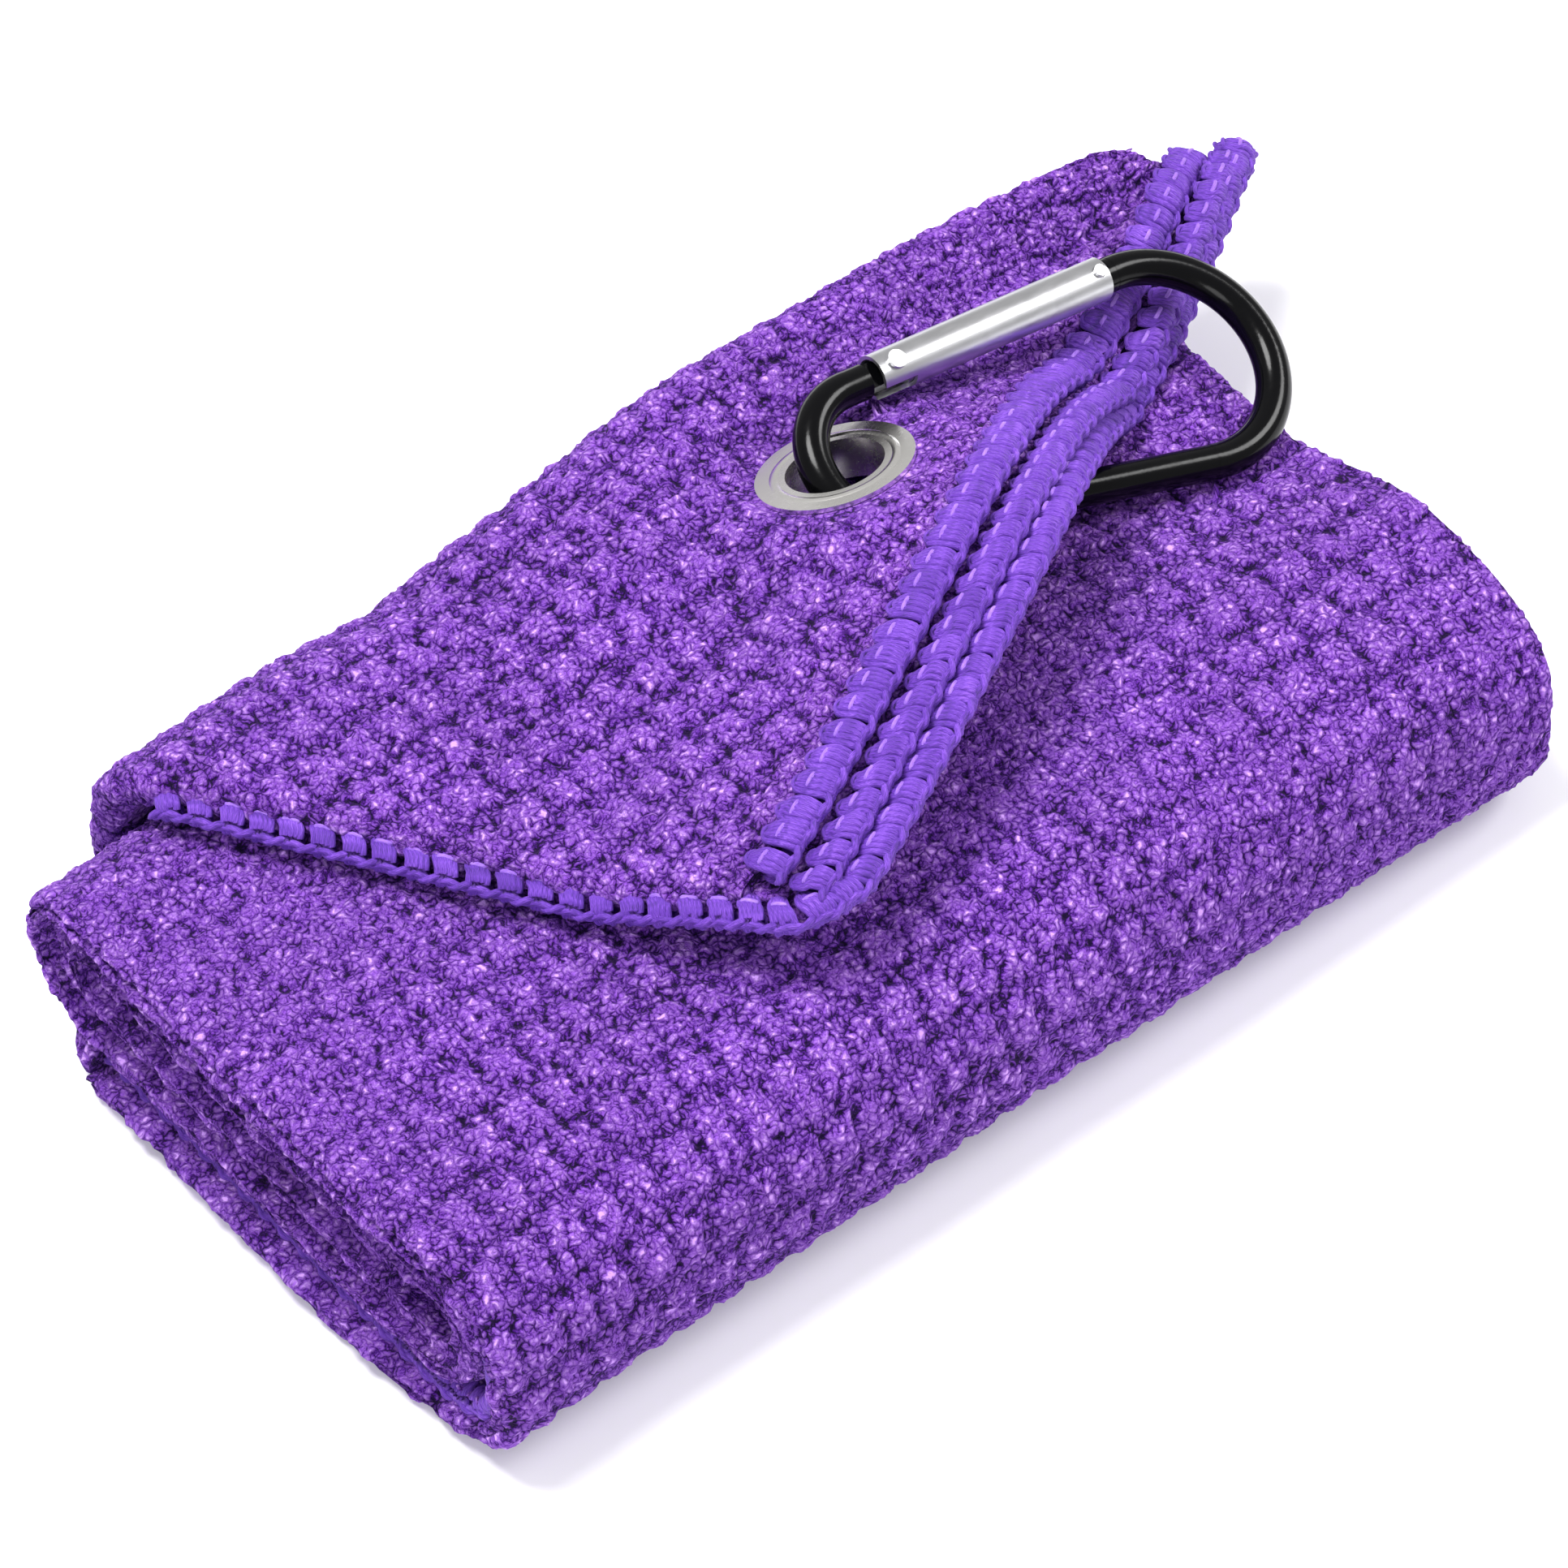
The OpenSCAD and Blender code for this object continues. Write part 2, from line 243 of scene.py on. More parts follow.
def flatness(p):
    """0 on the flat disc at the eyelet, 1 away from it."""
    return ease(eyelet_dist(p), EYELET_FLAT, EYELET_FLAT + EYELET_EASE)


def roof(p):
    """Top of the roll under the points p."""
    wide = LOOP_R + 4 * SLIT
    out = np.clip(p[..., 1] - BACK_Y, 0, wide)
    return (LOOP_Z + np.minimum(LOOP_R, np.sqrt(wide * wide - out * out))) * height_share(p[..., 0])


def lying_top(p):
    """Top of three plies that lie on the roll."""
    return roof(p) + SLOPE_SPREAD * 3 * (PLY_T + PLY_GAP) + SLIT


def flap_top(u, w):
    """Top of the flap at shares u of its width and w of its length."""
    p = mix(back_line(u), end_line(u), w[..., None])
    sag = FLAP_SAG * np.sin(np.pi * np.clip(w, 0, 1) ** 0.8)
    z = np.maximum(p[..., 2] - sag * smooth(1.6 - 1.6 * u), lying_top(p))
    flat_z = EYELET_AT[2] - (p[..., 1] - EYELET_AT[1]) * math.tan(EYELET_TILT)
    return np.stack([p[..., 0], p[..., 1], mix(flat_z, z, flatness(p))], -1)


def dome(u, w):
    """Top of the flap as it looks: fuller than flap_top near the back, where the cloth turns over."""
    p = flap_top(u, w)
    line = mix(back_line(u), end_line(u), w[..., None])
    full = np.maximum(line[..., 2], lying_top(line))
    settle = smooth((w - 0.15 - 0.25 * smooth((0.5 - u) / 0.2)) / 0.35)
    p[..., 2] = np.maximum(p[..., 2], mix(full, p[..., 2], settle))
    return p


def ply_at(p):
    """Thickness of a ply, which the eyelet clamps thinner."""
    return mix(PLY_CLAMPED, PLY_T, flatness(p))


def ply_top(k, u, w):
    """Top of ply k, counted down from the flap's top; each one reaches a step farther."""
    p = flap_top(u, w * (1 + k * PLY_STEP / flap_reach(u)))
    p[..., 2] -= k * (ply_at(p) + PLY_GAP) * SLOPE_SPREAD
    return p


# ---- Mesh helpers ----
def distances(path):
    """Distance of each point of a polyline from its start."""
    return np.concatenate([[0], np.cumsum(np.linalg.norm(np.diff(path, axis=0), axis=1))])


def along_line(at, far, values):
    """Values at the distances at, between those known at the distances far."""
    return np.stack([np.interp(at, far, values[:, d]) for d in range(values.shape[1])], -1)


def resample(path, step):
    """Points at an even step along a polyline, and their distances along it."""
    path = np.asarray(path, float)
    far = distances(path)
    count = max(2, int(round(far[-1] / step)) + 1)
    at = np.linspace(0, far[-1], count)
    return along_line(at, far, path), at


def grid_faces(rows, cols, keep=None):
    """Quads of a grid closed in its second direction; keep drops cells."""
    i, j = np.meshgrid(np.arange(rows - 1), np.arange(cols), indexing="ij")
    if keep is not None:
        i, j = i[keep], j[keep]
    i, j = i.ravel(), j.ravel()
    k = (j + 1) % cols
    return np.stack([i * cols + j, i * cols + k, (i + 1) * cols + k, (i + 1) * cols + j], -1)


def add_object(name, data):
    obj = bpy.data.objects.new(name, data)
    bpy.context.scene.collection.objects.link(obj)
    return obj


def make_mesh(name, verts_mm, faces, caps=()):
    """Mesh object from points in mm, smooth quads and flat caps, with every face turned outward."""
    mesh = bpy.data.meshes.new(name)
    a, b, c = (verts_mm[faces[:, i]] for i in (0, 1, 2))
    d = verts_mm[faces[:, 3]]
    volume = (np.cross(a, b) * c).sum() + (np.cross(a, c) * d).sum()
    order = 1 if volume > 0 else -1
    polys = [f[::order].tolist() for f in faces] + [list(cap)[::order] for cap in caps]
    mesh.from_pydata((verts_mm * MM).tolist(), [], polys)
    mesh.update()
    soft = np.ones(len(mesh.polygons), bool)
    soft[len(faces):] = False
    mesh.polygons.foreach_set("use_smooth", soft)
    return add_object(name, mesh)


def write_points(obj, pts):
    """Moves an object's mesh to the points pts, in mm."""
    obj.data.vertices.foreach_set("co", (pts * MM).astype(np.float32).ravel())
    obj.data.update()


def normals_of(obj):
    out = np.zeros(len(obj.data.vertices) * 3, np.float32)
    obj.data.vertex_normals.foreach_get("vector", out)
    return out.reshape(-1, 3).astype(float)


def set_uv(obj, ab):
    """Coordinates in mm along and across the cloth or yarn, as the UV map."""
    layer = obj.data.uv_layers.new(name="cloth")
    index = np.zeros(len(obj.data.loops), np.int32)
    obj.data.loops.foreach_get("vertex_index", index)
    layer.data.foreach_set("uv", ab[index].astype(np.float32).ravel())


def set_value(obj, name, values):
    """Gives each point of the mesh a value that its material can read."""
    attribute = obj.data.attributes.new(name, "FLOAT", "POINT")
    attribute.data.foreach_set("value", np.asarray(values, np.float32))


def clip_surface():
    """The clip's parts as one surface in mm, with the low and high corners of its box."""
    verts, faces = [], []
    for name in ("clip_frame", "gate_tube", "gate_rivet", "latch_pin"):
        base = len(verts)
        verts += [v.co / MM for v in nodes[name].data.vertices]
        faces += [[base + i for i in p.vertices] for p in nodes[name].data.polygons]
    return BVHTree.FromPolygons(verts, faces), np.array(verts).min(0), np.array(verts).max(0)


CLIP_SURFACE, CLIP_LOW, CLIP_HIGH = clip_surface()


def press_clear(pts, gap, reach=2.0):
    """Moves points out of the clip, so that cloth is dented where the clip lies on it."""
    close = np.all((pts > CLIP_LOW - reach) & (pts < CLIP_HIGH + reach), axis=1)
    for i in np.nonzero(close)[0]:
        hit, normal, _, _ = CLIP_SURFACE.find_nearest(Vector(pts[i]), reach)
        if hit is None:
            continue
        side = (Vector(pts[i]) - hit).dot(normal)
        if side < gap:
            pts[i] = np.array(hit + normal * gap)
    return pts


def round_bar(name):
    """Start point, direction, length and radius of a round CAD part, along its longest direction."""
    verts = np.array([v.co for v in nodes[name].data.vertices]) / MM
    middle = (verts.min(0) + verts.max(0)) / 2
    way = GATE_ALONG if name in ("gate_tube", "gate_spring") else np.linalg.svd(verts - middle)[2][0]
    along = verts @ way
    across = verts - along[:, None] * way
    centre = (across.min(0) + across.max(0)) / 2
    return centre + way * along.min(), way, np.ptp(along), np.linalg.norm(across - centre, axis=1).max()


def turned(pivot, axis, angle):
    """A turn about a fixed axis, as a rotation and a shift."""
    turn = np.array(Matrix.Rotation(angle, 3, Vector(axis)))
    return turn, pivot - turn @ pivot


def clear_gate(pts):
    """Moves points out of the way of the gate's tube and pin wherever the gate and the clip can swing."""
    for name, gap in GATE_GAPS.items():
        start, way, length, radius = round_bar(name)
        for gate_share, swivel_share in SWING_STEPS:
            gate, gate_shift = turned(GATE_PIVOT, GATE_AXIS, GATE_OPEN * gate_share)
            clip, clip_shift = turned(SWIVEL_PIVOT, SWIVEL_AXIS, SWIVEL_OPEN * swivel_share)
            origin = clip @ (gate @ start + gate_shift) + clip_shift
            line = clip @ gate @ way
            along = np.clip((pts - origin) @ line, -gap, length + gap)
            foot = origin + along[:, None] * line
            away = pts - foot
            dist = np.linalg.norm(away, axis=1)
            near = dist < radius + gap
            pts[near] = foot[near] + away[near] / dist[near, None] * (radius + gap)
    return pts


def cloth_piece(name, grid, ab, weight, waves, keep=None, walls=()):
    """Closed cloth solid from a grid of points in mm that is closed in its second direction.
    The waffle pads and tufts are raised from it along its normals, by a share given for each point."""
    rows, cols = grid.shape[:2]
    faces = grid_faces(rows, cols, keep)
    if len(walls):
        faces = np.concatenate([faces, walls])
    caps = [np.arange(cols)[::-1], (rows - 1) * cols + np.arange(cols)]
    obj = make_mesh(name, grid.reshape(-1, 3), faces, caps)
    pts = grid.reshape(-1, 3)
    flat_ab = ab.reshape(-1, 2)
    share = weight.reshape(-1)
    pads = waffle_pads(flat_ab)
    warp = np.stack([noise(flat_ab, 1.9, 31), noise(flat_ab, 1.9, 32)], -1) * 0.6
    curls = tufts(flat_ab + warp, TUFT_SIZE, 3)
    bold = mix(0.35, 1.15, smooth(0.5 + 0.9 * noise(flat_ab, 26.0, 33)))
    lift = PAD_HEIGHT * bold * (pads - PAD_LEVEL)
    lift += TUFT_HEIGHT * (curls - TUFT_LEVEL)
    lift += FUZZ_HEIGHT * noise(flat_ab, FUZZ_SIZE, 5)
    lift += waves * noise(flat_ab, WAVE_SIZE, 21)
    pts = pts + normals_of(obj) * (lift * share)[:, None]
    pts[:, 2] = np.maximum(pts[:, 2], FLOOR_GAP)
    pts = press_clear(pts, CLOTH_GAP)
    pts = clear_gate(pts)
    write_points(obj, pts)
    set_uv(obj, flat_ab)
    rest = obj.data.attributes.new("rest", "FLOAT_VECTOR", "POINT")
    rest.data.foreach_set("vector", grid.reshape(-1).astype(np.float32))
    set_value(obj, "pad", mix(PAD_LEVEL, pads, bold))
    set_value(obj, "tuft", curls)
    obj.data.materials.append(WAFFLE)
    return obj


# ---- Materials ----
class Nodes:
    """Short way to write a node material. In the names of inputs, an underscore stands for a space."""

    def __init__(self, name):
        self.material = bpy.data.materials.new(name)
        self.material.use_nodes = True
        self.tree = self.material.node_tree
        self.shader = self.tree.nodes["Principled BSDF"]

    def add(self, kind, **values):
        node = self.tree.nodes.new(kind)
        for key, value in values.items():
            if hasattr(node, key):
                setattr(node, key, value)
            else:
                node.inputs[key.replace("_", " ")].default_value = value
        return node

    def link(self, source, target):
        self.tree.links.new(source, target)

    def math(self, operation, a, b):
        node = self.add("ShaderNodeMath", operation=operation)
        for socket, value in zip(node.inputs, (a, b)):
            if isinstance(value, (int, float)):
                socket.default_value = value
            else:
                self.link(value, socket)
        return node.outputs[0]

    def ramp(self, source, stops):
        node = self.add("ShaderNodeValToRGB")
        while len(node.color_ramp.elements) < len(stops):
            node.color_ramp.elements.new(0.5)
        for element, (place, colour) in zip(node.color_ramp.elements, stops):
            element.position = place
            element.color = (*colour, 1)
        self.link(source, node.inputs["Fac"])
        return node.outputs["Color"]

    def blend(self, kind, share, a, b):
        node = self.add("ShaderNodeMix", data_type="RGBA", blend_type=kind)
        for socket, value in ((node.inputs[0], share), (node.inputs[6], a), (node.inputs[7], b)):
            if hasattr(value, "default_value"):
                self.link(value, socket)
            else:
                socket.default_value = value
        return node.outputs[2]

    def texture(self, kind, place, output="Fac", **values):
        node = self.add("ShaderNodeTex" + kind, **values)
        self.link(place, node.inputs["Vector"])
        return node.outputs[output]

    def set(self, **values):
        for key, value in values.items():
            self.shader.inputs[key.replace("_", " ")].default_value = value

    def base(self, colour):
        self.link(colour, self.shader.inputs["Base Color"])

    def bump(self, height, strength, distance):
        node = self.add("ShaderNodeBump", Strength=strength, Distance=distance)
        self.link(height, node.inputs["Height"])
        self.link(node.outputs["Normal"], self.shader.inputs["Normal"])

    def roughness(self, source, low, high, **values):
        node = self.add("ShaderNodeMapRange", To_Min=low, To_Max=high, **values)
        self.link(source, node.inputs["Value"])
        self.link(node.outputs[0], self.shader.inputs["Roughness"])


def srgb(r, g, b):
    """Linear colour from 0..255 screen values."""
    return tuple(c / 12.92 if c <= 0.04045 else ((c + 0.055) / 1.055) ** 2.4
                 for c in (r / 255, g / 255, b / 255))


def waffle_material():
    """Curled yarn: pillows of yarn with thin dark crevices, fibres on them, and broad raised pads. The dark
    of the crevices is painted shade, the light tops of the yarn are painted highlight, and the cloth
    between the pads is painted darker as shade.
    The pattern is fixed to the points at rest, so that it doesn't swim when the cloth bends."""
    n = Nodes("waffle_cloth")
    rest = n.add("ShaderNodeAttribute", attribute_name="rest").outputs["Vector"]

    def bent(scale, amount):
        curl = n.texture("Noise", rest, "Color", Scale=scale, Detail=1.5)
        shift = n.add("ShaderNodeVectorMath", operation="MULTIPLY_ADD")
        shift.inputs[1].default_value = (amount, amount, amount)
        n.link(curl, shift.inputs[0])
        n.link(rest, shift.inputs[2])
        return shift.outputs[0]

    curled = bent(0.9, 1.4)
    yarn = n.texture("Voronoi", curled, "Distance", feature="DISTANCE_TO_EDGE", Scale=1.12)
    strand = n.texture("Voronoi", bent(1.8, 0.7), "Distance", feature="DISTANCE_TO_EDGE", Scale=2.6)
    fibre = n.texture("Noise", curled, Scale=9.0, Detail=4.0, Roughness=0.7)
    pit = n.texture("Noise", rest, Scale=0.75, Detail=2.0)
    wide = n.texture("Noise", rest, Scale=0.06, Detail=2.0)
    pad = n.add("ShaderNodeAttribute", attribute_name="pad").outputs["Fac"]
    tuft = n.add("ShaderNodeAttribute", attribute_name="tuft").outputs["Fac"]

    # Crevices are wider in the pits and between the pads, so the painted shade in them spreads there too
    open_up = n.math("MULTIPLY", n.math("SUBTRACT", pit, 0.5), 0.30)
    open_up = n.math("SUBTRACT", open_up, n.math("MULTIPLY", n.math("SUBTRACT", pad, 0.5), 0.09))
    body = n.math("SUBTRACT", yarn, open_up)
    body = n.math("ADD", body, n.math("MULTIPLY", n.math("SUBTRACT", tuft, 0.6), 0.22))
    fine = n.math("MULTIPLY", n.math("MINIMUM", strand, 0.12), 0.8)
    level = n.math("ADD", n.math("ADD", body, fine), n.math("MULTIPLY", fibre, 0.16))
    # Painted shade and highlight: the ramp darkens the crevices and lightens the tops of the yarn
    colour = n.ramp(level, [(0.09, srgb(20, 0, 50)), (0.18, srgb(78, 20, 138)),
                            (0.27, srgb(134, 74, 198)), (0.42, srgb(164, 106, 222)),
                            (0.60, srgb(202, 152, 246))])
    shade = n.ramp(wide, [(0.3, (0.88, 0.88, 0.88)), (0.7, (1.06, 1.06, 1.06))])
    colour = n.blend("MULTIPLY", 1.0, colour, shade)
    # Painted shade: the cloth between the raised pads is darkened, as if shaded in the recesses
    depth = n.ramp(pad, [(0.1, (0.80, 0.76, 0.84)), (0.7, (1.0, 1.0, 1.0))])
    n.base(n.blend("MULTIPLY", 1.0, colour, depth))
    n.roughness(fibre, 0.6, 0.95)
    n.bump(n.math("MINIMUM", level, 0.6), 1.0, 0.0011)
    n.set(Sheen_Weight=0.1, Sheen_Roughness=0.5, Sheen_Tint=(*srgb(205, 160, 255), 1),
          Specular_IOR_Level=0.1)
    return n.material


def yarn_material(name, dark, middle, light):
    """Twisted yarn: fibres that run slantwise round it, in patches of lighter and darker dye."""
    n = Nodes(name)
    uv = n.add("ShaderNodeUVMap", uv_map="cloth").outputs["UV"]
    turn = n.add("ShaderNodeMapping")
    turn.inputs["Rotation"].default_value = (0, 0, math.radians(28))
    turn.inputs["Scale"].default_value = (0.8, 4.5, 1)
    n.link(uv, turn.inputs["Vector"])
    fibre = n.texture("Noise", turn.outputs[0], Scale=2.2, Detail=4.0, Roughness=0.65)
    patch = n.texture("Noise", uv, Scale=0.5, Detail=2.0)
    level = n.math("ADD", n.math("MULTIPLY", fibre, 0.7), n.math("MULTIPLY", patch, 0.3))
    n.base(n.ramp(level, [(0.32, dark), (0.5, middle), (0.68, light)]))
    n.roughness(fibre, 0.55, 0.8)
    n.bump(fibre, 0.8, 0.00018)
    n.set(Sheen_Weight=0.15, Sheen_Tint=(*srgb(205, 165, 255), 1))
    return n.material


def metal_material(name, colour, metallic, roughness, streak, wear=0.0, worn=(0.3, 0.3, 0.3)):
    """Metal with fine drawn streaks, uneven polish and small wear specks."""
    n = Nodes(name)
    place = n.add("ShaderNodeTexCoord").outputs["Object"]
    long_way = n.add("ShaderNodeMapping")
    long_way.inputs["Scale"].default_value = (90, 420, 420)
    n.link(place, long_way.inputs["Vector"])
    drawn = n.texture("Noise", long_way.outputs[0], Scale=4.0, Detail=5.0, Roughness=0.7)
    grain = n.texture("Noise", place, Scale=1800.0, Detail=3.0)
    blotch = n.texture("Noise", place, Scale=160.0, Detail=4.0)
    level = n.math("ADD", n.math("MULTIPLY", drawn, 0.6), n.math("MULTIPLY", blotch, 0.4))
    n.roughness(level, roughness - streak, roughness + streak, From_Min=0.3, From_Max=0.7)
    specks = n.ramp(blotch, [(0.66, (0, 0, 0)), (0.72, (wear, wear, wear))])
    n.base(n.blend("MIX", specks, (*colour, 1), (*worn, 1)))
    n.bump(grain, 0.25, 0.00003)
    n.set(Metallic=metallic)
    return n


WAFFLE = waffle_material()
YARN = yarn_material("overlock_yarn", srgb(36, 4, 92), srgb(98, 44, 174), srgb(152, 96, 226))
YARN_LIGHT = yarn_material("needle_yarn", srgb(110, 58, 186), srgb(156, 106, 226), srgb(196, 152, 246))


# ---- Roll ----
FRONT_FOLD_AT = BACK_Y - FRONT_Y
OUTER_LENGTH = 2 * (BACK_Y - FRONT_Y) + np.pi * 2 * PITCH
SEEN_INSIDE = 28
BULGE_AT_BACK = 3.4
BULGE_AT_FRONT = 1.5
BULGE_SHARE_INSIDE = 0.6
FOLD_NOTCH = 0.42
SLOT_SHARE = 0.36
SLOT_LIP_SHARE = 0.10
CORNER_RISE = 4.6
CORNER_REACH = 1.5
FRONT_SQUARENESS = 1.6


def arc(centre, r, a, b, count=60):
    """Points of a circle's arc from angle a to b, in degrees."""
    t = np.radians(np.linspace(a, b, count))
    return np.stack([centre[0] + r * np.cos(t), centre[1] + r * np.sin(t)], -1)


def layer_z(i):
    """Middle height of the roll's layer i, counted from the ground."""
    return i * PITCH + STRIP_T / 2


def end_reach(v, bulge, notch):
    """How far the plies' folded edges stand out of a strip's end, from its outer skin to its inner."""
    round_end = bulge * np.sqrt(np.clip(1 - (2 * v - 1) ** 2, 0, 1)) ** 0.8
    folds = sum(np.exp(-((v - at) / 0.06) ** 2) for at in (0.34, 0.67))
    return round_end - notch * folds


def strip(name, mid, along, across, back_across):
    """The rolled strip along the middle line mid, with its plies' folded edges standing out at its ends.
    across and back_across are the mesh steps of its outer and inner skins."""
    way = unit(np.gradient(mid, axis=0))
    side = np.stack([-way[:, 1], way[:, 0]], -1)
    half = ROLL_L / 2
    v = np.linspace(0, 1, 23)[1:-1]
    out = end_reach(v, 1.0, FOLD_NOTCH)
    out = np.where(v > 0.6, np.minimum(out, 0.1), out)
    top_x = np.arange(-half, half + across / 2, across)
    low_x = np.arange(half, -half - back_across / 2, -back_across)
    none = np.zeros(len(low_x))
    x = np.concatenate([top_x, np.full(len(v), half), low_x, np.full(len(v), -half)])
    stand = np.concatenate([np.zeros(len(top_x)), out, none, -out[::-1]])
    n = np.concatenate([np.full(len(top_x), 0.5), 0.5 - v, none - 0.5, 0.5 - v[::-1]])
    end_far = v * STRIP_T * 1.3
    b = np.concatenate([top_x, half + end_far, 2 * half + STRIP_T - low_x, -half - end_far[::-1]])
    # The ends stand out most at the back, least at the front fold
    bulge = mix(BULGE_AT_BACK, BULGE_AT_FRONT, ease(mid[:, 0], -18, -38))[:, None]
    bulge = bulge * mix(1.0, BULGE_SHARE_INSIDE, ease(along, OUTER_LENGTH, OUTER_LENGTH + 20))[:, None]
    xs = x[None, :] + stand[None, :] * bulge
    # A slot opens inside the back loop at the left end
    slack = ease(mid[:, 0], 20, 28)[:, None] * ease(xs, -52, -62)
    share = n[None, :] * (1 - SLOT_SHARE * slack)
    share = share + SLOT_LIP_SHARE * slack * (along < OUTER_LENGTH + 30)[:, None]
    y = mid[:, 0][:, None] + side[:, 0][:, None] * share * STRIP_T
    z = mid[:, 1][:, None] + side[:, 1][:, None] * share * STRIP_T
    # The outer turn rises towards its front right corner, and reaches out a little there
    rise = ease(xs, 22, 62) * ease(y, 4, -18) * ease(z, 12, 24)
    rise = rise * (along < OUTER_LENGTH)[:, None]
    z = z * height_share(xs) + CORNER_RISE * rise
    xs = xs + CORNER_REACH * rise * ease(xs, 50, 65)
    grid = np.stack([xs, y, z], -1)
    weight = np.broadcast_to(np.where(n > -0.45, 1.0, 0.25), y.shape)
    ab = np.stack(np.broadcast_arrays(along[:, None], b[None, :]), -1)
    return cloth_piece(name, grid, ab, weight, WAVE_HEIGHT)


def squared_front(path):
    """The lower half of the front fold stands squarer on the ground than a round arc."""
    p = np.array(path)
    low = (p[:, 0] < FRONT_Y) & (p[:, 1] < FOLD_Z)
    t = np.arctan2(FOLD_Z - p[:, 1], FRONT_Y - p[:, 0])
    grow = np.where(low, FRONT_SQUARENESS * np.sin(2 * t) ** 2, 0)
    p[:, 0] -= grow * np.cos(t)
    p[:, 1] -= grow * 0.35 * np.sin(t)
    return p


def build_roll():
    """The rolled strip, meshed finely where it is seen. Returns the path of its outer turn."""
    outer = squared_front(np.concatenate([[[BACK_Y, layer_z(0)]],
                                          arc((FRONT_Y, FOLD_Z), 2 * PITCH, 270, 90)]))
    inner = np.concatenate([arc((BACK_Y, LOOP_Z), 1.5 * PITCH, 90, -90),
                            arc((FRONT_Y, FOLD_Z), PITCH, 270, 90)])
    core = np.concatenate([arc((BACK_Y, LOOP_Z), PITCH / 2, 90, -90), [[FRONT_Y + PITCH, layer_z(2)]]])
    path = np.concatenate([outer, inner, core])
    far = distances(path)
    seen_to = OUTER_LENGTH + SEEN_INSIDE
    along = np.concatenate([np.arange(0, FRONT_FOLD_AT, COARSE), np.arange(FRONT_FOLD_AT, seen_to, FINE),
                            np.arange(seen_to, far[-1], 1.3 * COARSE)])
    obj = strip("roll_cloth", along_line(along, far, path), along, FINE, 2 * COARSE)
    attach(obj, "roll")
    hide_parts("roll_outer_turn", "roll_inner_turn", "roll_core_turn")
    return np.concatenate([outer, [[BACK_Y - TURN_GAP, layer_z(4)]]])


# ---- Flap ----
FLANGE_R = 8.9
HOLE_R = 6.3
EDGE_POINTS = 9
JOIN_AT = 0.2
JOIN_SLOPE_STEP = 0.03
JOIN_PULL = 0.42
JOIN_T = 3.9


def bend_with_flap(obj, *replaced):
    """Bakes a piece's placement into its mesh and hides the CAD nodes that it stands for."""
    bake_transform(obj)
    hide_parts(*replaced)


def hole_walls(keep_top, low_of, cols):
    """Walls round a hole that is cut through both skins of a sheet; low_of gives the column below."""
    walls = []
    rows = keep_top.shape[0]
    for i in range(1, rows - 1):
        for j in np.nonzero(~keep_top[i])[0]:
            low_a, low_b = low_of(j), low_of(j + 1)
            if keep_top[i - 1, j]:
                walls.append([i * cols + j + 1, i * cols + j, i * cols + low_a, i * cols + low_b])
            if keep_top[i + 1, j]:
                k = i + 1
                walls.append([k * cols + j, k * cols + j + 1, k * cols + low_b, k * cols + low_a])
            if keep_top[i, j - 1]:
                walls.append([i * cols + j, (i + 1) * cols + j, (i + 1) * cols + low_a, i * cols + low_a])
            if keep_top[i, j + 1]:
                walls.append([(i + 1) * cols + j + 1, i * cols + j + 1, i * cols + low_b,
                              (i + 1) * cols + low_b])
    return np.array(walls, int).reshape(-1, 4)


